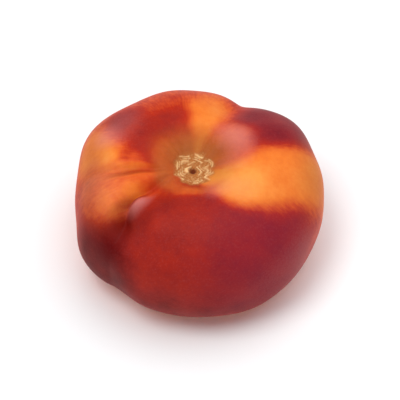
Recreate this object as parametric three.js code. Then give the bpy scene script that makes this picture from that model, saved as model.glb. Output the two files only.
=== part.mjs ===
// A flat peach, Prunus persica var. platycarpa: one fruit, as picked, lying on its stem end.
//
// The fruit is a single solid. Its skin is a squared, flattened ball that is higher above its
// widest line than below it. Swellings between the furrows give it its lobes, a shallow basin
// holds the blossom scar on top, and a funnel-shaped stem cavity opens underneath. The fruit
// sits on the ring of shoulders round that cavity, pressed flat where it touches.
//
// Millimetres and degrees, +Z up. The origin is on the resting plane, at the middle of the
// fruit's length and width. Azimuth 0 is +X, and it turns towards +Y.

import * as THREE from "three";

// Whole fruit
const RADIUS = 34.6; // from the axis to the widest line, before the lobes swell it
const HEIGHT_ABOVE = 22.6; // of the plain ball, above the widest line
const HEIGHT_BELOW = 22.0;
const SQUARENESS = 2.4; // 2 is an ellipse; more is flatter on top and rounder at the rim
const WIDEST_AT = 17.9; // height of the widest line over the table
const LEAN = { x: 2.3, y: 1.6 }; // how far the widest line lies off the axis of the scars

// Ends
const BASIN = { depth: 6.8, radius: 12.5 };
const CAVITY = { depth: 15.0, radius: 9.0, steepness: 3.2 };
const PRESSED = 0.35; // half the height over which the skin eases onto the table

// Lobes: swell is a share of the radius, and lift raises the rim of the top
const LOBES = [
  { azimuth: -70, spread: 38, swell: 0.025, lift: 0.3 },
  { azimuth: -28, spread: 18, swell: -0.012, lift: 0.0 },
  { azimuth: 0, spread: 34, swell: 0.0, lift: 0.6 },
  { azimuth: 38, spread: 20, swell: 0.03, lift: 0.8 },
  { azimuth: 105, spread: 26, swell: -0.02, lift: 1.6 },
  { azimuth: 150, spread: 20, swell: 0.075, lift: 1.0 },
  { azimuth: 187, spread: 18, swell: 0.0, lift: 1.2 },
  { azimuth: 207, spread: 17, swell: 0.068, lift: 0.0 },
  { azimuth: 241, spread: 15, swell: 0.04, lift: 0.0 },
];

// Furrows run from the scar outwards. inner and outer are their azimuths near the scar and at
// the rim. before and after are the widths of their two banks, on the side of the smaller and
// the larger azimuth. start, full, fade are shares of the radius; side and under say how much
// of the depth is left at the widest line and on the underside.
const FURROWS = [
  {
    inner: 210, outer: 225, depth: 5.2, before: 1.5, after: 5.5,
    start: 0.14, full: 0.5, fade: 0.78, side: 0.1, under: 0.5, widen: 1.6,
  },
  {
    inner: 66, outer: 66, depth: 4.0, before: 8.0, after: 6.5,
    start: 0.22, full: 0.75, fade: 0.8, side: 0.85, under: 0.5, widen: 1.0,
  },
  {
    inner: 187, outer: 183, depth: 2.0, before: 0.9, after: 2.6,
    start: 0.2, full: 0.38, fade: 0.55, side: 0.0, under: 0.0, widen: 1.0,
  },
];
const FURROW_ROUNDING = 0.35; // of the furrow's bed, in bank widths
const FURROW_BEND = { from: 0.55, to: 1 }; // where its line swings from inner to outer

// Mesh
const SEGMENTS = 88;
const RINGS = 40;
const GATHER = 0.5; // how strongly the rings crowd towards the scar and the cavity

const radians = THREE.MathUtils.degToRad;
const bell = (x) => Math.exp(-x * x);
const between = (low, high, x) => THREE.MathUtils.smoothstep(x, low, high);

// The difference between two angles, from -PI to PI.
function turn(angle) {
  return Math.atan2(Math.sin(angle), Math.cos(angle));
}

// How far the lobes widen the fruit and raise the rim of its top at an azimuth.
function lobes(azimuth) {
  let swell = 0;
  let lift = 0;
  for (const lobe of LOBES) {
    const share = bell(turn(azimuth - radians(lobe.azimuth)) / radians(lobe.spread));
    swell += lobe.swell * share;
    lift += lobe.lift * share;
  }
  return { swell, lift };
}

// How deep one furrow is at a place on the skin. share is the distance from the axis over the
// radius, and upper says whether the place is above the widest line.
function furrowDepth(furrow, azimuth, share, distance, upper) {
  const swing = between(FURROW_BEND.from, FURROW_BEND.to, share);
  const course = furrow.inner + (furrow.outer - furrow.inner) * swing;
  const off = turn(azimuth - radians(course));
  const across = distance * Math.sin(off);
  const widening = 1 + (furrow.widen - 1) * between(0.6, 1, share);
  const bank = (across > 0 ? furrow.after : furrow.before) * widening;
  const section = Math.exp(FURROW_ROUNDING - Math.hypot(across / bank, FURROW_ROUNDING));
  const ahead = between(0, 0.35, Math.cos(off));
  const top = between(furrow.start, furrow.full, share)
    * (1 - (1 - furrow.side) * between(furrow.fade, 1, share));
  const below = (furrow.under + (furrow.side - furrow.under) * between(0.55, 1, share))
    * between(0.1, 0.3, share);
  return furrow.depth * section * ahead * (upper ? top : below);
}

// Eases the skin onto the table: flat on it below -PRESSED, untouched above PRESSED.
function restOnTable(height) {
  if (height <= -PRESSED) return 0;
  if (height >= PRESSED) return height;
  return (height + PRESSED) ** 2 / (4 * PRESSED);
}

// The point of the skin at a polar angle, from 0 at the blossom scar to PI at the stem, and an
// azimuth.
function skin(polar, azimuth) {
  const { swell, lift } = lobes(azimuth);
  const radius = RADIUS * (1 + swell);
  const share = Math.sin(polar) ** (2 / SQUARENESS);
  const distance = radius * share;
  const upper = Math.cos(polar) >= 0;
  const half = upper ? HEIGHT_ABOVE : HEIGHT_BELOW;
  const rise = Math.abs(Math.cos(polar)) ** (2 / SQUARENESS);

  // The outward direction of the plain ball, which the furrows cut against
  const outward = new THREE.Vector2(
    share ** (SQUARENESS - 1) / radius,
    ((upper ? 1 : -1) * rise ** (SQUARENESS - 1)) / half,
  ).normalize();

  let height = (upper ? half : -half) * rise;
  if (upper) {
    height += lift * between(0.1, 0.62, share) * outward.y;
    height -= BASIN.depth * bell(distance / BASIN.radius);
  } else {
    height += CAVITY.depth / (1 + (distance / CAVITY.radius) ** CAVITY.steepness);
  }

  let cut = 0;
  for (const furrow of FURROWS) cut += furrowDepth(furrow, azimuth, share, distance, upper);
  const reach = distance - cut * outward.x;
  return new THREE.Vector3(
    reach * Math.cos(azimuth) + LEAN.x * share,
    reach * Math.sin(azimuth) + LEAN.y * share,
    restOnTable(WIDEST_AT + height - cut * outward.y),
  );
}

// A unit sphere whose every vertex is carried to its place on the skin.
function fruitGeometry() {
  const geometry = new THREE.SphereGeometry(1, SEGMENTS, RINGS).rotateX(Math.PI / 2);
  const position = geometry.getAttribute("position");
  const direction = new THREE.Vector3();
  for (let i = 0; i < position.count; i++) {
    direction.fromBufferAttribute(position, i).normalize();
    const even = Math.acos(THREE.MathUtils.clamp(direction.z, -1, 1));
    const polar = even - (GATHER / 2) * Math.sin(2 * even);
    const place = skin(polar, Math.atan2(direction.y, direction.x));
    position.setXYZ(i, place.x, place.y, place.z);
  }
  geometry.computeBoundingBox();
  const middle = geometry.boundingBox.getCenter(new THREE.Vector3());
  geometry.translate(-middle.x, -middle.y, 0);
  geometry.computeVertexNormals();
  return geometry;
}

const skinMaterial = new THREE.MeshStandardMaterial({
  color: 0xb5452c,
  roughness: 0.55,
  metalness: 0.0,
});

const peach = new THREE.Mesh(fruitGeometry(), skinMaterial);
peach.name = "flat_peach";

const part = new THREE.Group();
part.add(peach);

export default part;
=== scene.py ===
"""A ripe flat peach: one downy fruit, blossom end up, resting on a white board in soft light.

Lengths in the fruit's classes are in millimetres and angles in degrees, as a grower would measure them,
and the meshes are in metres. The skin is one function of two angles: the polar angle runs from the
blossom scar on top (0) over the girth (90) to the stalk scar underneath (180), and the azimuth goes round
the upright axis from +X towards +Y. A share is a distance from that axis over the fruit's radius.
"""

import logging
import math
from collections.abc import Callable
from dataclasses import dataclass
from enum import Enum

import bpy
import numpy as np
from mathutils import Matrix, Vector


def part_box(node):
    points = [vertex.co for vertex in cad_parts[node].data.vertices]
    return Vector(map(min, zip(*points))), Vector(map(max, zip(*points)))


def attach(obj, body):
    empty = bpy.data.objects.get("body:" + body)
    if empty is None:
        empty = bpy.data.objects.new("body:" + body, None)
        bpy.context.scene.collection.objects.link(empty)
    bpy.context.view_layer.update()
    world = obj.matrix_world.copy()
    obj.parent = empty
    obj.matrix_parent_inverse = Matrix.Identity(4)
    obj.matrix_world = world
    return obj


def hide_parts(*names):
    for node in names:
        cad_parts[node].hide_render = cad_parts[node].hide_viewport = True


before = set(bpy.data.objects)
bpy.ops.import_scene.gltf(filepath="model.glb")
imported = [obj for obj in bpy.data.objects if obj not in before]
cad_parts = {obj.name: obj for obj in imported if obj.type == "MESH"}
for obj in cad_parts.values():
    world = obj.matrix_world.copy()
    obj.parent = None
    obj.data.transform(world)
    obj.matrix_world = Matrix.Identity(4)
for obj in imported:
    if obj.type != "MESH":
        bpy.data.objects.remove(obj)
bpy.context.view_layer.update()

MM = 0.001
CAD_NODE = "flat_peach"
BODY = "root"
PIECE = "peach_fruit"
FLOW = "flow"
# A Mix node's colour sockets, by number because they share their names with its plain ones.
UNDER, OVER, MIXED = 6, 7, 2
# A stroke this many degrees wide goes all the way round.
ALL_ROUND = 400.0

Array = np.ndarray
# One value, or an array of them.
Values = Array | float
Tree = bpy.types.NodeTree
Socket = bpy.types.NodeSocket
log = logging.getLogger("flat_peach")


class Tint(Enum):
    """What the skin's colour is mixed from, each an attribute of the mesh from 0 to 1."""

    BLUSH = "blush"
    WINE = "wine"
    OLIVE = "olive"
    # Painted shade in the creases, the furrow and the scars' pits.
    SHADE = "shade"
    # Pale down, and painted highlights and sheen.
    BLOOM = "bloom"
    FRINGE = "fringe"
    SCAR = "scar"
    CORK = "cork"


def linear(colour: str) -> tuple[float, float, float, float]:
    """Turns an sRGB hex colour into the linear colour that a shader takes.

    Args:
        colour: The colour as "#RRGGBB".

    Returns:
        Linear red, green and blue, and an alpha of 1.
    """
    toe_end, toe_slope, lift, power, full = 0.04045, 12.92, 0.055, 2.4, 255
    channels = np.array(list(bytes.fromhex(colour.lstrip("#")))) / full
    curve = ((channels + lift) / (1 + lift)) ** power
    red, green, blue = np.where(channels <= toe_end, channels / toe_slope, curve)
    return float(red), float(green), float(blue), 1.0


def bell(x: Array) -> Array:
    """A bump that is 1 at x = 0 and fades on both sides: e to the power of minus x squared."""
    return np.exp(-x * x)


def between(low: float, high: float, x: Array) -> Array:
    """A smooth step from 0 at low to 1 at high: 3t squared minus 2t cubed, t clipped to 0 to 1."""
    t = np.clip((x - low) / (high - low), 0, 1)
    return t * t * (3 - 2 * t)


def turn(angle: Array) -> Array:
    """The same angle in radians, brought to between minus half a turn and half a turn."""
    return np.arctan2(np.sin(angle), np.cos(angle))


def plan(distance: Values, azimuth: Values) -> Array:
    """The place seen from above, x and y last, of a distance from the axis and an azimuth."""
    return np.stack([distance * np.cos(azimuth), distance * np.sin(azimuth)], axis=-1)


def waves(places: Array, length: float, seed: int, count: int = 24) -> Array:
    """A smooth random pattern without a grid: the sum of plane waves that run every way.

    Args:
        places: Points, with their coordinates last.
        length: The mean distance from one crest to the next, in the points' unit.
        seed: Which pattern it is.
        count: How many waves are summed.

    Returns:
        The pattern at each point, around 0 and mostly between -1 and 1.
    """
    shortest, longest = 0.7, 1.4
    chance = np.random.default_rng(seed)
    ways = chance.normal(size=(places.shape[-1], count))
    ways /= np.linalg.norm(ways, axis=0)
    stretch = chance.uniform(shortest, longest, count)
    starts = chance.uniform(0, math.tau, count)
    crests = np.sin(places @ (ways * stretch * math.tau / length) + starts)
    return crests.sum(axis=-1) / math.sqrt(count)


def close_grid(name: str, points: Array, top: Array, bottom: Array | None) -> bpy.types.Object:
    """Makes a smooth mesh of quads from rings of points, closed by a fan of triangles at a pole.

    Args:
        name: The object's name.
        points: One row of points per ring, each ring closed, running anticlockwise seen from the top.
        top: The pole before the first ring.
        bottom: The pole after the last ring, or None to leave that end open.

    Returns:
        The new object, in the scene, with its faces pointing outwards.
    """
    rings, segments = points.shape[:2]
    number = np.arange(rings * segments).reshape(rings, segments)
    beside = np.roll(number, -1, axis=1)
    faces = np.stack([number[:-1], number[1:], beside[1:], beside[:-1]], axis=-1).reshape(-1, 4).tolist()
    vertices = points.reshape(-1, 3).tolist()
    for pole, first, second in ((top, number[0], beside[0]), (bottom, beside[-1], number[-1])):
        if pole is not None:
            faces += np.stack([np.full(segments, len(vertices)), first, second], axis=-1).tolist()
            vertices.append(list(pole))
    mesh = bpy.data.meshes.new(name)
    mesh.from_pydata(vertices, [], faces)
    mesh.polygons.foreach_set("use_smooth", np.ones(len(faces), dtype=bool))
    mesh.update()
    made = bpy.data.objects.new(name, mesh)
    bpy.context.scene.collection.objects.link(made)
    return made


def bare_material(name: str) -> bpy.types.Material:
    """Makes a material with an empty node tree.

    Args:
        name: The material's name.

    Returns:
        The new material.
    """
    material = bpy.data.materials.new(name)
    material.use_nodes = True
    material.node_tree.nodes.clear()
    return material


def add_node(
    tree: Tree,
    kind: str,
    inputs: dict[str | int, object],
    output: str | int = 0,
    **settings: object,
) -> Socket | None:
    """Adds a shader node with its settings and links.

    Args:
        tree: The material's node tree.
        kind: The node's type, without its ShaderNode prefix.
        inputs: Its inputs by name or number, each a socket to link or a plain value.
        output: Which of its outputs is wanted.
        settings: Its properties by name.

    Returns:
        The wanted output, or None if the node has no outputs.
    """
    node = tree.nodes.new("ShaderNode" + kind)
    for name, value in settings.items():
        setattr(node, name, value)
    for key, value in inputs.items():
        if isinstance(value, Socket):
            tree.links.new(value, node.inputs[key])
        else:
            node.inputs[key].default_value = value
    return node.outputs[output] if node.outputs else None


@dataclass(frozen=True)
class Lobe:
    """A swelling of the girth at an azimuth: swell widens it by a share, and lift raises its crest."""

    azimuth: float
    spread: float
    swell: float
    lift: float

    def nearness(self, azimuth: Array) -> Array:
        """How near the lobe's crest a place is: a bell of the angle between them over the spread."""
        return bell(turn(azimuth - math.radians(self.azimuth)) / math.radians(self.spread))


@dataclass(frozen=True)
class Furrow:
    """A groove from the scar over the girth and along the underside.

    Its line runs from azimuth inner to azimuth outer. Each bank has its own width, before and after the
    line. Along the top it sets in from start to full, and from fade outwards it eases to its depth on
    the girth, side; under is its depth below, both as shares of depth. Its banks are widen times as
    wide on the girth.
    """

    inner: float
    outer: float
    depth: float
    before: float
    after: float
    start: float
    full: float
    fade: float
    side: float
    under: float
    widen: float


@dataclass(frozen=True)
class FurrowPath:
    """What all furrows share: the shares of the radius where they swing, widen, and go under.

    Rounding is that of a furrow's bed, in bank widths, and one_sided is the cosine by which a furrow has
    faded in on its own side of the axis.
    """

    rounding: float = 0.35
    bend_from: float = 0.55
    bend_to: float = 1.0
    widen_from: float = 0.6
    under_from: float = 0.55
    cavity_edge: tuple[float, float] = (0.1, 0.3)
    one_sided: float = 0.35

    def depth(self, furrow: Furrow, azimuth: Array, distance: Array, share: Array, upper: Array) -> Array:
        """How deep a furrow is at each place.

        Across its line the section is e to the power of r minus the hypotenuse of (across / bank) and
        r, which is a groove with a bed rounded by r. Along it the depth follows smooth steps of the
        share.

        Args:
            furrow: The furrow.
            azimuth: Azimuth in radians.
            distance: Distance from the axis in mm.
            share: The share of the radius.
            upper: Whether the place is above the girth.

        Returns:
            Depth in mm, measured inwards along the normal.
        """
        swing = between(self.bend_from, self.bend_to, share)
        off = turn(azimuth - np.radians(furrow.inner + (furrow.outer - furrow.inner) * swing))
        across = distance * np.sin(off)
        widening = 1 + (furrow.widen - 1) * between(self.widen_from, 1, share)
        bank = np.where(across > 0, furrow.after, furrow.before) * widening
        section = np.exp(self.rounding - np.hypot(across / bank, self.rounding))
        ahead = between(0, self.one_sided, np.cos(off))
        eased = 1 - (1 - furrow.side) * between(furrow.fade, 1, share)
        above = between(furrow.start, furrow.full, share) * eased
        below = furrow.under + (furrow.side - furrow.under) * between(self.under_from, 1, share)
        below = below * between(*self.cavity_edge, share)
        return furrow.depth * section * ahead * np.where(upper, above, below)


@dataclass(frozen=True)
class Knoll:
    """A small soft rise on the skin: where it is, how far it reaches in mm, and how high it is in mm."""

    azimuth: float
    polar: float
    reach: float
    height: float


@dataclass(frozen=True)
class Puckers:
    """Small folds that run out from the blossom scar like the gathers of a purse."""

    folds: int = 19
    sways: int = 5
    sway: float = 2.2
    start: float = 0.6
    radius: float = 8.5
    reach: float = 3.5
    height: float = 0.10

    def relief(self, distance: Array, azimuth: Array) -> Array:
        """The folds' height in mm: a sine round the scar whose phase sways, times a bell of distance."""
        folds = np.sin(self.folds * azimuth + self.sway * np.sin(self.sways * azimuth + self.start))
        return self.height * folds * bell((distance - self.radius) / self.reach)


@dataclass(frozen=True)
class CorkRing:
    """One ring of dry cork in a scar, broken into pieces and wider open on one side."""

    radius: float
    width: float
    height: float
    breaks: int
    phase: float
    stretch: float


@dataclass(frozen=True)
class CorkScar:
    """A dry disc where the blossom or the stalk dropped off: broken rings of cork round a dark pit."""

    edge: float
    pit_radius: float
    pit_depth: float
    rings: tuple[CorkRing, ...]
    fringe: float = 0.9
    ragged: float = 0.3
    ragged_length: float = 2.6
    sunk: float = 0.25
    wander: float = 0.5
    wander_length: float = 4.0
    second_beat: float = 0.6
    gap: tuple[float, float] = (-0.8, 0.5)
    crumb: float = 0.03
    crumb_length: float = 0.9
    wander_seed: int = 3
    crumb_seed: int = 5
    ragged_seed: int = 8

    def cork(self, distance: Array, azimuth: Array) -> Array:
        """How high the cork stands: each ring is a bell across a radius that wanders.

        A ring's radius grows towards -Y by its stretch, and its strength goes up and down round the
        scar as the sum of two sines, so that it is broken into pieces.

        Args:
            distance: Distance from the scar's centre in mm.
            azimuth: Azimuth in radians.

        Returns:
            Height in mm above the scar's floor.
        """
        place = plan(distance, azimuth)
        wandering = distance + self.wander * waves(place, self.wander_length, self.wander_seed)
        height = self.crumb * waves(place, self.crumb_length, self.crumb_seed)
        for ring in self.rings:
            radius = ring.radius + ring.stretch * (1 - np.sin(azimuth)) / 2
            beat = np.sin(ring.breaks * azimuth + ring.phase)
            beat += self.second_beat * np.sin((2 * ring.breaks + 1) * azimuth + 2 * ring.phase)
            height += ring.height * bell((wandering - radius) / ring.width) * between(*self.gap, beat)
        return height

    def mask(self, distance: Array, azimuth: Array) -> Array:
        """1 on the scar and 0 off it: a smooth step of the distance, with an uneven edge."""
        uneven = self.ragged * waves(plan(distance, azimuth), self.ragged_length, self.ragged_seed)
        return 1 - between(-self.fringe, self.fringe, distance - (self.edge + uneven))

    def relief(self, distance: Array, azimuth: Array) -> Array:
        """The scar's height in mm over the smooth skin: a sunk floor with cork, less the pit's bell."""
        floor = (self.cork(distance, azimuth) - self.sunk) * self.mask(distance, azimuth)
        return floor - self.pit_depth * bell(distance / self.pit_radius)


@dataclass(frozen=True)
class Stroke:
    """One soft-edged oval of a tint: its centre, half widths in degrees, what it paints, and its edge.

    slant turns it: its azimuth moves by slant degrees for each degree of polar angle.
    """

    tint: Tint
    azimuth: float
    spread: float
    polar: float
    reach: float
    amount: float
    soft: float
    slant: float = 0.0

    def cover(self, polar: Array, azimuth: Array) -> Array:
        """How far the stroke covers a place: 1 inside its oval, 0 outside, a smooth step between.

        Args:
            polar: Polar angle in radians.
            azimuth: Azimuth in radians.

        Returns:
            The cover at each place.
        """
        down = np.degrees(polar) - self.polar
        across = np.degrees(turn(azimuth - np.radians(self.azimuth + self.slant * down)))
        away = np.hypot(across / self.spread, down / self.reach)
        return 1 - between(1 - self.soft, 1 + self.soft, away)


@dataclass(frozen=True)
class Blush:
    """Where the sun reddened the skin, with painted shade and painted highlights among its strokes. The
    strokes are laid on in order, over an even start.
    """

    start: tuple[tuple[Tint, float], ...] = (
        (Tint.BLUSH, 0.55),
        (Tint.WINE, 0.05),
        (Tint.OLIVE, 0.0),
        (Tint.SHADE, 0.0),
        (Tint.BLOOM, 0.0),
    )
    strokes: tuple[Stroke, ...] = (
        # The underside stayed in the shade of the twig, and is yellow towards the stalk.
        Stroke(Tint.BLUSH, 0, ALL_ROUND, 180, 75, 0.30, 0.40),
        Stroke(Tint.BLUSH, 0, ALL_ROUND, 180, 42, 0.05, 0.40),
        Stroke(Tint.OLIVE, 0, ALL_ROUND, 180, 40, 0.45, 0.50),
        # The front lobe faced the sun, and is deep red from the scar's lip down over the girth, with a
        # painted pink sheen low on the right.
        Stroke(Tint.BLUSH, 275, 62, 62, 58, 0.76, 0.24),
        Stroke(Tint.WINE, 310, 34, 64, 44, 0.78, 0.75),
        Stroke(Tint.BLOOM, 324, 18, 88, 14, 0.14, 0.90),
        Stroke(Tint.BLUSH, 238, 12, 84, 20, 0.74, 0.70),
        # The red deepens under the girth, partly as painted shade.
        Stroke(Tint.BLUSH, 262, 60, 106, 18, 0.88, 0.60),
        # A bright orange sector opens from the scar to the right, with pale touches of down and painted
        # highlight near the scar.
        Stroke(Tint.BLUSH, 335, 34, 21, 51, 0.14, 0.42, 0.8),
        Stroke(Tint.BLUSH, 358, 16, 60, 30, 0.20, 0.55),
        Stroke(Tint.BLUSH, 327, 22, 20, 12, 0.00, 0.70),
        Stroke(Tint.BLOOM, 322, 14, 21, 8, 0.10, 0.90),
        Stroke(Tint.BLOOM, 304, 16, 14, 5, 0.20, 0.90),
        Stroke(Tint.BLOOM, 6, 16, 15, 6, 0.15, 0.90),
        # Behind it lies a dark crimson cheek, and lighter red where it turns down to the scar, under a
        # painted pink highlight.
        Stroke(Tint.BLUSH, 37, 22, 48, 36, 0.86, 0.35),
        Stroke(Tint.WINE, 37, 24, 48, 34, 0.46, 0.50),
        Stroke(Tint.BLUSH, 42, 28, 19, 10, 0.42, 0.80),
        Stroke(Tint.BLOOM, 38, 22, 20, 6, 0.40, 0.90),
        # At the back an orange band climbs out of the basin.
        Stroke(Tint.BLUSH, 82, 16, 30, 24, 0.18, 0.50),
        Stroke(Tint.BLUSH, 106, 22, 50, 15, 0.50, 0.60),
        # At the back left a red streak crosses the crest towards the left crease.
        Stroke(Tint.BLUSH, 142, 38, 22, 9, 0.73, 0.50, -1.5),
        Stroke(Tint.BLUSH, 147, 15, 40, 10, 0.80, 0.60),
        Stroke(Tint.WINE, 148, 14, 44, 10, 0.26, 0.80),
        # A painted mauve sheen on the crest.
        Stroke(Tint.BLOOM, 150, 12, 38, 9, 0.14, 0.90),
        Stroke(Tint.BLUSH, 165, 62, 11, 5, 0.50, 0.80),
        # The left flank is orange and salmon, with painted pink highlights, and painted shade along its
        # crease.
        Stroke(Tint.BLUSH, 168, 14, 58, 20, 0.24, 0.60),
        Stroke(Tint.BLOOM, 160, 7, 44, 9, 0.35, 0.90),
        Stroke(Tint.OLIVE, 180, 26, 57, 14, 0.32, 0.80),
        Stroke(Tint.BLUSH, 176, 10, 41, 7, 0.12, 0.80),
        Stroke(Tint.BLUSH, 198, 15, 44, 22, 0.38, 0.50),
        Stroke(Tint.BLOOM, 195, 16, 48, 14, 0.13, 0.90),
        Stroke(Tint.BLUSH, 206, 8, 49, 9, 0.26, 0.80),
        Stroke(Tint.BLUSH, 198, 14, 59, 8, 0.46, 0.80),
        Stroke(Tint.BLUSH, 205, 5, 31, 7, 0.20, 0.80),
        Stroke(Tint.BLUSH, 196, 8, 20, 6, 0.34, 0.80),
        Stroke(Tint.BLUSH, 184, 3.5, 30, 12, 0.24, 0.60),
        Stroke(Tint.BLUSH, 177, 6, 27, 6, 0.48, 0.80),
        # Painted shade on the left crease's floor.
        Stroke(Tint.SHADE, 190, 3, 28, 13, 0.45, 0.70),
        # Deep red down the furrow's left bank to the underside: partly the skin's own blush, partly painted
        # shade.
        Stroke(Tint.BLUSH, 219, 17, 85, 23, 0.98, 0.50),
        # Painted shade darkens the furrow's floor and its banks, and a painted highlight lies on its
        # shoulder.
        Stroke(Tint.SHADE, 221, 7, 56, 16, 0.92, 0.80),
        Stroke(Tint.SHADE, 217, 17, 78, 20, 0.46, 1.00),
        Stroke(Tint.SHADE, 212, 3, 34, 14, 0.55, 0.80),
        Stroke(Tint.SHADE, 230, 7, 38, 10, 0.34, 0.80),
        Stroke(Tint.SHADE, 234, 14, 21, 7, 0.25, 0.80),
        # A painted highlight on the furrow's shoulder.
        Stroke(Tint.BLOOM, 219, 5, 34, 8, 0.56, 1.00),
        # The girth is a little olive on the right.
        Stroke(Tint.OLIVE, 0, 17, 66, 14, 0.30, 0.90),
        # Olive down lies behind the scar, and its lip in front is salmon.
        Stroke(Tint.OLIVE, 85, 120, 6, 9, 0.55, 0.90),
        Stroke(Tint.OLIVE, 200, 30, 11, 4, 0.40, 0.80),
        Stroke(Tint.OLIVE, 262, 40, 9.5, 3.5, 0.22, 0.80),
        Stroke(Tint.BLUSH, 222, 18, 14, 5, 0.60, 0.80),
        Stroke(Tint.BLUSH, 262, 46, 11.5, 3, 0.44, 0.70),
        # Both scars have a dark pit, deepened with painted shade.
        Stroke(Tint.SHADE, 0, ALL_ROUND, 0, 0.7, 0.80, 0.50),
        Stroke(Tint.SHADE, 0, ALL_ROUND, 180, 0.7, 0.60, 0.50),
    )

    def paint(self, polar: Array, azimuth: Array) -> dict[Tint, Array]:
        """Lays the strokes on: each takes what is there part of the way to its own amount.

        Args:
            polar: Polar angle in radians.
            azimuth: Azimuth in radians.

        Returns:
            Each tint's amount at every place.
        """
        tints = {tint: np.full_like(polar, amount) for tint, amount in self.start}
        for stroke in self.strokes:
            cover = stroke.cover(polar, azimuth)
            tints[stroke.tint] += (stroke.amount - tints[stroke.tint]) * cover
        return tints


@dataclass(frozen=True)
class Grain:
    """A random pattern in a finish: its features' length in mm, its finer layers, and its strength."""

    size: float
    layers: float
    strength: float

    def pattern(self, tree: Tree, place: Socket) -> Socket:
        """Adds the pattern to a material.

        Args:
            tree: The material's node tree.
            place: The coordinates it lies in, in metres.

        Returns:
            Noise, brought to between minus and plus half the strength.
        """
        settings = {"Vector": place, "Scale": 1 / (self.size * MM), "Detail": self.layers}
        noise = add_node(tree, "TexNoise", settings, "Fac")
        ends = {"Value": noise, "To Min": -self.strength / 2, "To Max": self.strength / 2}
        return add_node(tree, "MapRange", ends, "Result")


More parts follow.
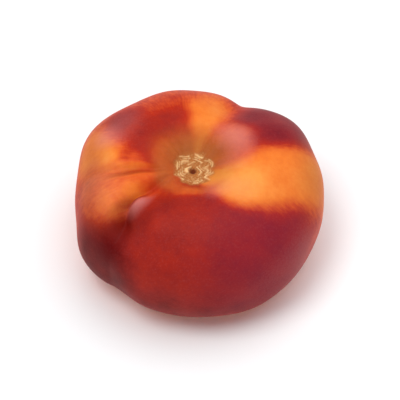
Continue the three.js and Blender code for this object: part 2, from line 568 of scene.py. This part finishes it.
@dataclass(frozen=True)
class PeachSkin:
    """Living peach skin under short down, with dry cork scars.

    The down gives the eye a soft, matt surface with no mirror-like highlight, a little paler where it
    turns away; its soft highlights are painted into the colour. Under it the colour runs from orange
    flesh that shows through to a red that the sun brought out in fine streaks and freckles.
    """

    name: str = "downy_peach_skin"
    # From skin that no sun reached, through orange and scarlet, to skin that it burnt dark.
    blush_ramp: tuple[tuple[float, str], ...] = (
        (0.00, "#FB9C46"),
        (0.20, "#F27E2E"),
        (0.42, "#DC541F"),
        (0.60, "#B92C12"),
        (0.80, "#98231B"),
        (1.00, "#640A08"),
    )
    wine: str = "#821E36"
    olive: str = "#8A6A30"
    # The colour of the painted shade.
    painted_shade: str = "#5C0202"
    # Pale pink of the down, also used for the painted highlights.
    bloom: str = "#DC948E"
    straw: str = "#F0C288"
    bark: str = "#AE6A36"
    down: str = "#FFE9D8"
    ior: float = 1.42
    # The hairs stand in front of the skin's own gloss and leave a sixth of it.
    specular: float = 0.08
    roughness: float = 0.48
    gloss_drift: float = 0.46
    cork_roughness: float = 0.85
    sheen: float = 0.035
    sheen_roughness: float = 0.45
    subsurface: float = 0.10
    subsurface_depth: float = 1.5
    bleed: tuple[float, float, float] = (1.0, 0.35, 0.15)
    # The colour drifts in patches about 7 mm wide, and the red lies in freckles of about 1.6 mm.
    patches: Grain = Grain(7.0, 3, 0.26)
    freckles: Grain = Grain(1.6, 4, 0.14)
    # Along a patch's edge the red ends in streaks 0.9 mm wide, this many times as long as wide.
    streaks: Grain = Grain(0.9, 4, 0.34)
    streak_length: float = 4.3
    # Cork flakes are about 0.35 mm across.
    flakes: Grain = Grain(0.35, 3, 0.8)
    # A hair of the down is 0.02 mm thick, too fine to show, so tufts of it are drawn 0.5 mm wide.
    tufts: Grain = Grain(0.5, 2, 1.0)
    tuft_height: float = 0.10
    tuft_strength: float = 0.5
    tuft_cover: float = 0.14

    def ripeness(self, tree: Tree, tint: dict[Tint, Socket], place: Socket, patches: Socket) -> Socket:
        """Adds how red the skin is: the blush plus its patches, its freckles and its edges' streaks.

        Args:
            tree: The material's node tree.
            tint: Each tint's amount.
            place: The place on the fruit.
            patches: The patches' pattern.

        Returns:
            The amount of red, from 0 to 1.
        """
        flow = add_node(tree, "Attribute", {}, "Vector", attribute_name=FLOW)
        freckles = self.freckles.pattern(tree, place)
        streaks = self.streaks.pattern(tree, flow)
        patchy = add_node(tree, "Math", {0: tint[Tint.BLUSH], 1: patches}, operation="ADD")
        freckled = add_node(tree, "Math", {0: patchy, 1: freckles}, operation="ADD")
        edged = {0: streaks, 1: tint[Tint.FRINGE], 2: freckled}
        return add_node(tree, "Clamp", {"Value": add_node(tree, "Math", edged, operation="MULTIPLY_ADD")})

    def ramp(self, tree: Tree, ripe: Socket) -> Socket:
        """Adds the ramp from the palest skin to the darkest.

        Args:
            tree: The material's node tree.
            ripe: The amount of red, from 0 to 1.

        Returns:
            The skin's own colour.
        """
        colour = add_node(tree, "ValToRGB", {"Fac": ripe}, "Color")
        stops = colour.node.color_ramp.elements
        stops.remove(stops[-1])
        stops[0].color = linear(self.blush_ramp[0][1])
        for position, stop_colour in self.blush_ramp[1:]:
            stops.new(position).color = linear(stop_colour)
        return colour

    def coats(
        self, tree: Tree, tint: dict[Tint, Socket], place: Socket, ripe: Socket, tufts: Socket
    ) -> tuple[tuple[Socket, object], ...]:
        """Adds what covers the skin's own colour: wine, olive, down with painted highlights, the scars'
        cork, and painted shade.

        Args:
            tree: The material's node tree.
            tint: Each tint's amount.
            place: The place on the fruit.
            ripe: The amount of red, from 0 to 1.
            tufts: The tufts' pattern.

        Returns:
            Each coat's cover and its colour, in the order that they are laid on.
        """
        flakes = self.flakes.pattern(tree, place)
        wine = add_node(tree, "Math", {0: tint[Tint.WINE], 1: ripe}, operation="MULTIPLY")
        # The down's colour also carries the strokes' painted highlights and sheen.
        tufted = {0: tufts, 1: self.tuft_cover, 2: tint[Tint.BLOOM]}
        down = add_node(tree, "Math", tufted, operation="MULTIPLY_ADD")
        flaky = add_node(tree, "Math", {0: tint[Tint.CORK], 1: flakes}, operation="ADD")
        dried = {"Factor": flaky, UNDER: linear(self.bark), OVER: linear(self.straw)}
        cork = add_node(tree, "Mix", dried, MIXED, data_type="RGBA")
        return (
            (wine, linear(self.wine)),
            (tint[Tint.OLIVE], linear(self.olive)),
            (down, linear(self.bloom)),
            (tint[Tint.SCAR], cork),
            (tint[Tint.SHADE], linear(self.painted_shade)),
        )

    def material(self) -> bpy.types.Material:
        """Builds the skin's material: the ramp's colour, its coats, and the finish of skin and cork.

        Returns:
            The new material.
        """
        material = bare_material(self.name)
        tree = material.node_tree
        tint = {t: add_node(tree, "Attribute", {}, "Fac", attribute_name=t.value) for t in Tint}
        place = add_node(tree, "TexCoord", {}, "Object")
        patches = self.patches.pattern(tree, place)
        tufts = self.tufts.pattern(tree, place)
        ripe = self.ripeness(tree, tint, place, patches)
        colour = self.ramp(tree, ripe)
        for cover, coat in self.coats(tree, tint, place, ripe, tufts):
            layers = {"Factor": cover, UNDER: colour, OVER: coat}
            colour = add_node(tree, "Mix", layers, MIXED, data_type="RGBA")

        drifting = {0: patches, 1: self.gloss_drift, 2: self.roughness}
        roughness = add_node(tree, "Math", drifting, operation="MULTIPLY_ADD")
        dry = {"Factor": tint[Tint.SCAR], "A": roughness, "B": self.cork_roughness}
        hairs = {"Height": tufts, "Strength": self.tuft_strength, "Distance": self.tuft_height * MM}
        finish = {
            "Base Color": colour,
            "Roughness": add_node(tree, "Mix", dry),
            "Normal": add_node(tree, "Bump", hairs),
            "IOR": self.ior,
            "Specular IOR Level": self.specular,
            "Sheen Weight": self.sheen,
            "Sheen Roughness": self.sheen_roughness,
            "Sheen Tint": linear(self.down),
            "Subsurface Weight": self.subsurface,
            "Subsurface Radius": self.bleed,
            "Subsurface Scale": self.subsurface_depth * MM,
        }
        add_node(tree, "OutputMaterial", {"Surface": add_node(tree, "BsdfPrincipled", finish)})
        return material


@dataclass(frozen=True)
class Focus:
    """A line that the mesh's lines crowd round: its angle and reach in degrees, and how much closer."""

    angle: float
    reach: float
    crowd: float


@dataclass(frozen=True)
class FlatPeach:
    """The fruit: a flattened, squared ball with lobes, furrows, a basin on top and a stalk cavity."""

    radius: float = 34.6
    height_above: float = 22.6
    height_below: float = 22.0
    squareness: float = 2.4
    widest_at: float = 17.9
    lean_x: float = 2.3
    lean_y: float = 1.6
    basin_depth: float = 6.8
    basin_radius: float = 12.5
    cavity_depth: float = 15.0
    cavity_radius: float = 9.0
    cavity_steepness: float = 3.2
    crest: tuple[float, float] = (0.1, 0.62)
    pressed: float = 0.35
    lobes: tuple[Lobe, ...] = (
        Lobe(-70, 38, 0.025, 0.3),
        Lobe(-28, 18, -0.012, 0.0),
        Lobe(0, 34, 0.0, 0.6),
        Lobe(38, 20, 0.03, 0.8),
        Lobe(105, 26, -0.02, 1.6),
        Lobe(150, 20, 0.075, 1.0),
        Lobe(187, 18, 0.0, 1.2),
        Lobe(207, 17, 0.068, 0.0),
        Lobe(241, 15, 0.04, 0.0),
    )
    furrows: tuple[Furrow, ...] = (
        Furrow(210, 225, 5.2, 1.5, 5.5, 0.14, 0.5, 0.78, 0.1, 0.5, 1.6),
        Furrow(66, 66, 4.0, 8.0, 6.5, 0.22, 0.75, 0.8, 0.85, 0.5, 1.0),
        Furrow(187, 183, 2.0, 0.9, 2.6, 0.2, 0.38, 0.55, 0.0, 0.0, 1.0),
    )
    path: FurrowPath = FurrowPath()
    knolls: tuple[Knoll, ...] = (
        Knoll(217, 30, 2.2, 0.8),
        Knoll(220, 36, 2.6, 0.8),
        Knoll(268, 13, 2.4, 0.4),
    )
    swells: float = 0.22
    swell_length: float = 17.0
    swell_seed: int = 11
    # The fine relief sets in between these heights, so that the skin still lies flat on the table.
    relief_sets_in: tuple[float, float] = (0.2, 3.0)
    puckers: Puckers = Puckers()
    blossom_scar: CorkScar = CorkScar(
        5.3, 0.75, 0.9,
        (
            CorkRing(1.5, 0.32, 0.46, 2, 1.9, 0.7),
            CorkRing(2.5, 0.24, 0.18, 4, 0.4, 0.5),
            CorkRing(3.3, 0.26, 0.26, 5, 2.2, 0.3),
            CorkRing(4.1, 0.26, 0.22, 8, 4.0, 0.1),
            CorkRing(4.9, 0.30, 0.36, 7, 5.5, 0.0),
        ),
    )
    stalk_scar: CorkScar = CorkScar(
        3.4, 0.6, 0.5,
        (
            CorkRing(1.3, 0.30, 0.25, 3, 0.9, 0.2),
            CorkRing(2.2, 0.30, 0.20, 5, 2.9, 0.0),
            CorkRing(3.0, 0.30, 0.30, 6, 4.1, 0.0),
        ),
    )
    full_cork: float = 0.35
    blush: Blush = Blush()
    # Streaks show where the blush is near this amount, and fade in away from the scar, in mm.
    fringe_blush: float = 0.47
    fringe_width: float = 0.2
    fringe_sets_in: tuple[float, float] = (10.0, 26.0)
    skin: PeachSkin = PeachSkin()
    rings: int = 240
    segments: int = 396
    samples: int = 721
    ring_focus: tuple[Focus, ...] = (Focus(0, 5.2, 14), Focus(180, 17, 3))
    segment_focus: tuple[Focus, ...] = (Focus(214, 17, 1.6),)

    def lines(self, end: float, count: int, focus: tuple[Focus, ...]) -> Array:
        """Places the mesh's lines so that each gap holds the same share of the detail.

        The detail is 1 plus a bell round each focus, and the lines' places are read back off its
        running sum.

        Args:
            end: The last angle in radians; the first is 0.
            count: How many lines there are.
            focus: Where they crowd.

        Returns:
            The lines' angles in radians, rising from 0 to end.
        """
        angle = np.linspace(0, end, self.samples)
        detail = np.ones(self.samples)
        for spot in focus:
            detail += spot.crowd * bell(turn(angle - math.radians(spot.angle)) / math.radians(spot.reach))
        total = np.concatenate([[0], np.cumsum((detail[1:] + detail[:-1]) / 2)])
        return np.interp(np.linspace(0, total[-1], count), total, angle)

    def grid(self) -> tuple[Array, Array]:
        """Crosses the mesh's lines.

        Returns:
            Polar angles with one row per ring, poles left out, and azimuths with one column per
            segment, both in radians.
        """
        rings = self.lines(math.pi, self.rings + 2, self.ring_focus)[1:-1]
        segments = self.lines(math.tau, self.segments + 1, self.segment_focus)[:-1]
        return tuple(np.meshgrid(rings, segments, indexing="ij"))

    def share(self, polar: Values) -> Values:
        """The distance from the axis over the radius: sin of the polar angle to the 2 / squareness."""
        return np.abs(np.sin(polar)) ** (2 / self.squareness)

    def rest_on_table(self, height: Array) -> Array:
        """Presses the lowest skin flat: 0 below -p, the height above p, a parabola between."""
        eased = (height + self.pressed) ** 2 / (4 * self.pressed)
        return np.where(height >= self.pressed, height, np.where(height <= -self.pressed, 0, eased))

    def smooth_skin(self, polar: Array, azimuth: Array) -> Array:
        """The fruit's shape without its fine relief.

        The ball's section is a superellipse: the share is sin to the power 2 / squareness and the rise
        is cos to the same power. Lobes scale the radius and lift the crest, bells sink the basin and
        the stalk cavity, and furrows are cut along the ball's normal.

        Args:
            polar: Polar angle in radians.
            azimuth: Azimuth in radians.

        Returns:
            Points in mm, x, y and z last, not yet centred.
        """
        nearness = [lobe.nearness(azimuth) for lobe in self.lobes]
        swell = sum(lobe.swell * near for lobe, near in zip(self.lobes, nearness))
        lift = sum(lobe.lift * near for lobe, near in zip(self.lobes, nearness))
        upper = np.cos(polar) >= 0
        radius = self.radius * (1 + swell)
        half = np.where(upper, self.height_above, self.height_below)
        share = self.share(polar)
        rise = np.abs(np.cos(polar)) ** (2 / self.squareness)
        distance = radius * share
        side = np.where(upper, 1, -1)
        out = share ** (self.squareness - 1) / radius
        up = side * rise ** (self.squareness - 1) / half
        length = np.hypot(out, up)
        out, up = out / length, up / length
        basin = self.basin_depth * bell(distance / self.basin_radius)
        crest = lift * between(*self.crest, share) * up
        cavity = self.cavity_depth / (1 + (distance / self.cavity_radius) ** self.cavity_steepness)
        height = side * half * rise + np.where(upper, crest - basin, cavity)
        cut = sum(self.path.depth(furrow, azimuth, distance, share, upper) for furrow in self.furrows)
        flat = plan(distance - cut * out, azimuth) + share[..., None] * np.array([self.lean_x, self.lean_y])
        standing = self.rest_on_table(self.widest_at + height - cut * up)
        return np.concatenate([flat, standing[..., None]], axis=-1)

    def at_scars(
        self, measure: Callable[[CorkScar, Array, Array], Array], polar: Array, azimuth: Array
    ) -> Array:
        """A measure of the scars: the blossom scar's above the girth and the stalk scar's below.

        Args:
            measure: What is measured, a method of CorkScar.
            polar: Polar angle in radians.
            azimuth: Azimuth in radians.

        Returns:
            Its value at each place.
        """
        distance = self.radius * self.share(polar)
        top = measure(self.blossom_scar, distance, azimuth)
        base = measure(self.stalk_scar, distance, azimuth)
        return np.where(np.cos(polar) >= 0, top, base)

    def relief(self, polar: Array, azimuth: Array, points: Array) -> Array:
        """The fine relief: scars, puckers, knolls as bells of the distance, and swells as random waves.

        Args:
            polar: Polar angle in radians.
            azimuth: Azimuth in radians.
            points: The smooth skin's points in mm.

        Returns:
            Height in mm along the normal, fading out where the skin touches the table.
        """
        distance = self.radius * self.share(polar)
        rise = self.puckers.relief(distance, azimuth)
        for knoll in self.knolls:
            centre = plan(self.radius * self.share(math.radians(knoll.polar)), math.radians(knoll.azimuth))
            gap = np.linalg.norm(plan(distance, azimuth) - centre, axis=-1)
            rise = rise + knoll.height * bell(gap / knoll.reach)
        height = self.at_scars(CorkScar.relief, polar, azimuth) + np.where(np.cos(polar) >= 0, rise, 0)
        height = height + self.swells * waves(points, self.swell_length, self.swell_seed)
        return height * between(*self.relief_sets_in, points[..., 2])

    def surface(self) -> tuple[Array, Array, Array]:
        """The whole skin with its fine relief, centred as the solid is.

        The relief is added along the cross product of the grid's two directions.

        Returns:
            The grid's points, the top pole and the bottom pole, in metres.
        """
        polar, azimuth = self.grid()
        points = self.smooth_skin(polar, azimuth)
        ends = np.array([0, math.pi])
        poles = self.smooth_skin(ends, np.zeros(2))
        middle = (points.min(axis=(0, 1)) + points.max(axis=(0, 1))) / 2 * np.array([1, 1, 0])
        along = np.roll(points, -1, axis=1) - np.roll(points, 1, axis=1)
        normal = np.cross(np.gradient(points, axis=0), along)
        normal /= np.linalg.norm(normal, axis=-1, keepdims=True)
        points = points + normal * self.relief(polar, azimuth, points)[..., None]
        poles[:, 2] += self.at_scars(CorkScar.relief, ends, np.zeros(2)) * np.cos(ends)
        points, poles = (points - middle) * MM, (poles - middle) * MM
        return points, poles[0], poles[1]

    def build(self) -> bpy.types.Object:
        """Builds the fruit's mesh and paints its tints.

        Returns:
            The new object, in the scene.
        """
        fruit = close_grid(PIECE, *self.surface())
        self.paint(fruit.data)
        return fruit

    def paint(self, mesh: bpy.types.Mesh) -> None:
        """Writes each tint and the streaks' flow into the mesh as attributes.

        The flow's coordinates are the radius times (cos azimuth, sin azimuth, polar / streak length),
        so a noise on them is drawn out along the meridians.

        Args:
            mesh: The fruit's mesh, its poles last.
        """
        polar, azimuth = self.grid()
        polar = np.concatenate([polar.ravel(), [0, math.pi]])
        azimuth = np.concatenate([azimuth.ravel(), [0, 0]])
        distance = self.radius * self.share(polar)
        tints = self.blush.paint(polar, azimuth)
        edge = bell((tints[Tint.BLUSH] - self.fringe_blush) / self.fringe_width)
        tints[Tint.FRINGE] = edge * between(*self.fringe_sets_in, distance)
        tints[Tint.SCAR] = self.at_scars(CorkScar.mask, polar, azimuth)
        tints[Tint.CORK] = np.clip(self.at_scars(CorkScar.cork, polar, azimuth) / self.full_cork, 0, 1)
        for tint, amount in tints.items():
            layer = mesh.attributes.new(tint.value, "FLOAT", "POINT")
            layer.data.foreach_set("value", amount.astype(np.float32))
        around, down = plan(np.ones_like(polar), azimuth), polar[:, None] / self.skin.streak_length
        flow = self.radius * MM * np.concatenate([around, down], axis=-1)
        layer = mesh.attributes.new(FLOW, "FLOAT_VECTOR", "POINT")
        layer.data.foreach_set("vector", flow.astype(np.float32).ravel())

    def dress(self, fruit: bpy.types.Object) -> None:
        """Gives the fruit its skin and its place in the frame.

        Args:
            fruit: The fruit that build made.
        """
        fruit.data.materials.append(self.skin.material())
        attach(fruit, BODY)
        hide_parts(CAD_NODE)


@dataclass(frozen=True)
class Lamp:
    """A large, far, soft light.

    Its place and its width are in degrees as the fruit sees them, and its strength is in watts a
    square metre.
    """

    name: str
    azimuth: float
    elevation: float
    width: float
    strength: float
    colour: str


@dataclass(frozen=True)
class BoardPaint:
    """Matt white paint: it has next to no gloss, so the floor looks one even white."""

    name: str = "matt_white_paint"
    colour: str = "#FAFBFB"
    roughness: float = 0.8

    def material(self) -> bpy.types.Material:
        """Builds the paint's material.

        Returns:
            The new material.
        """
        material = bare_material(self.name)
        tree = material.node_tree
        finish = {"Base Color": linear(self.colour), "Roughness": self.roughness}
        add_node(tree, "OutputMaterial", {"Surface": add_node(tree, "BsdfPrincipled", finish)})
        return material


@dataclass(frozen=True)
class Studio:
    """A white board under soft light, and the camera that looks down on the fruit, in metres.

    The camera stands at azimuth and elevation, in degrees, and fill is the share of the frame that the
    fruit's width takes up.
    """

    azimuth: float = -90.0
    elevation: float = 53.0
    distance: float = 0.9
    fill: float = 0.62
    # The sensor's width is in millimetres, as a camera maker gives it.
    sensor: float = 36.0
    view_end: float = 20.0
    board_radius: float = 4.0
    board_flat: float = 1.2
    board_curl: float = 0.06
    board_rings: int = 24
    board_sides: int = 96
    paint: BoardPaint = BoardPaint()
    sky_colour: str = "#F4F7FF"
    sky_strength: float = 0.36
    lamps: tuple[Lamp, ...] = (
        Lamp("key_light", 212, 68, 28, 1.10, "#FFFDFA"),
        Lamp("overhead_light", 40, 80, 62, 1.55, "#FFFFFF"),
    )

    @staticmethod
    def direction(azimuth: float, elevation: float) -> Vector:
        """The unit vector towards an azimuth and an elevation.

        Args:
            azimuth: Azimuth in degrees.
            elevation: Height over the horizon in degrees.

        Returns:
            cos elevation times (cos azimuth, sin azimuth), and sin elevation.
        """
        turned, raised = math.radians(azimuth), math.radians(elevation)
        level = math.cos(raised)
        return Vector((level * math.cos(turned), level * math.sin(turned), math.sin(raised)))

    @staticmethod
    def aim(thing: bpy.types.Object, target: Vector, away: Vector) -> None:
        """Stands a lamp or a camera at target + away, in the scene, and points it at the target.

        Args:
            thing: The lamp or camera.
            target: What it looks at.
            away: From the target to where it stands.
        """
        bpy.context.scene.collection.objects.link(thing)
        thing.location = target + away
        thing.rotation_euler = (-away).to_track_quat("-Z", "Y").to_euler()

    def camera(self, middle: Vector, width: float) -> None:
        """Makes the camera: its lens is set so that the fruit's width fills its share of the frame.

        Args:
            middle: The fruit's middle.
            width: The fruit's width.
        """
        lens = bpy.data.cameras.new("camera")
        lens.sensor_width = self.sensor
        lens.lens = self.sensor * self.fill * self.distance / width
        lens.clip_end = self.view_end
        camera = bpy.data.objects.new("camera", lens)
        self.aim(camera, middle, self.direction(self.azimuth, self.elevation) * self.distance)
        bpy.context.scene.camera = camera

    def light(self, middle: Vector) -> None:
        """Sets up the lamps and an even pale sky.

        Args:
            middle: The fruit's middle, which the lamps point at.
        """
        for lamp in self.lamps:
            data = bpy.data.lights.new(lamp.name, "SUN")
            data.angle = math.radians(lamp.width)
            data.energy = lamp.strength
            data.color = linear(lamp.colour)[:3]
            light = bpy.data.objects.new(lamp.name, data)
            self.aim(light, middle, self.direction(lamp.azimuth, lamp.elevation))
        world = bpy.data.worlds.new("studio_sky")
        world.use_nodes = True
        sky = world.node_tree.nodes["Background"]
        sky.inputs["Color"].default_value = linear(self.sky_colour)
        sky.inputs["Strength"].default_value = self.sky_strength
        bpy.context.scene.world = world

    def board(self) -> bpy.types.Object:
        """Lays the white board: flat at z = 0, and curling up as a parabola beyond board_flat.

        Returns:
            The board, with its white paint.
        """
        radius = np.linspace(0, self.board_radius, self.board_rings + 1)[1:, None]
        azimuth = np.linspace(0, math.tau, self.board_sides, endpoint=False)[None]
        flat = plan(radius, azimuth)
        rise = self.board_curl * np.clip(radius - self.board_flat, 0, None) ** 2
        standing = np.broadcast_to(rise, flat.shape[:2])
        points = np.concatenate([flat, standing[..., None]], axis=-1)
        board = close_grid("white_board", points, np.zeros(3), None)
        board.data.materials.append(self.paint.material())
        return board


def main() -> None:
    """Builds the fruit, then the board, the lights and the camera."""
    logging.basicConfig(level=logging.INFO, format="%(name)s: %(message)s")
    peach = FlatPeach()
    fruit = peach.build()
    peach.dress(fruit)
    log.info("%s has %d vertices and rides on %s", fruit.name, len(fruit.data.vertices), BODY)
    low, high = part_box(CAD_NODE)
    middle = (low + high) / 2
    studio = Studio()
    board = studio.board()
    log.info("%s has %d vertices and is staging", board.name, len(board.data.vertices))
    studio.light(middle)
    studio.camera(middle, high.x - low.x)
    bpy.context.scene.view_settings.view_transform = "Standard"


if __name__ == "__main__":
    main()
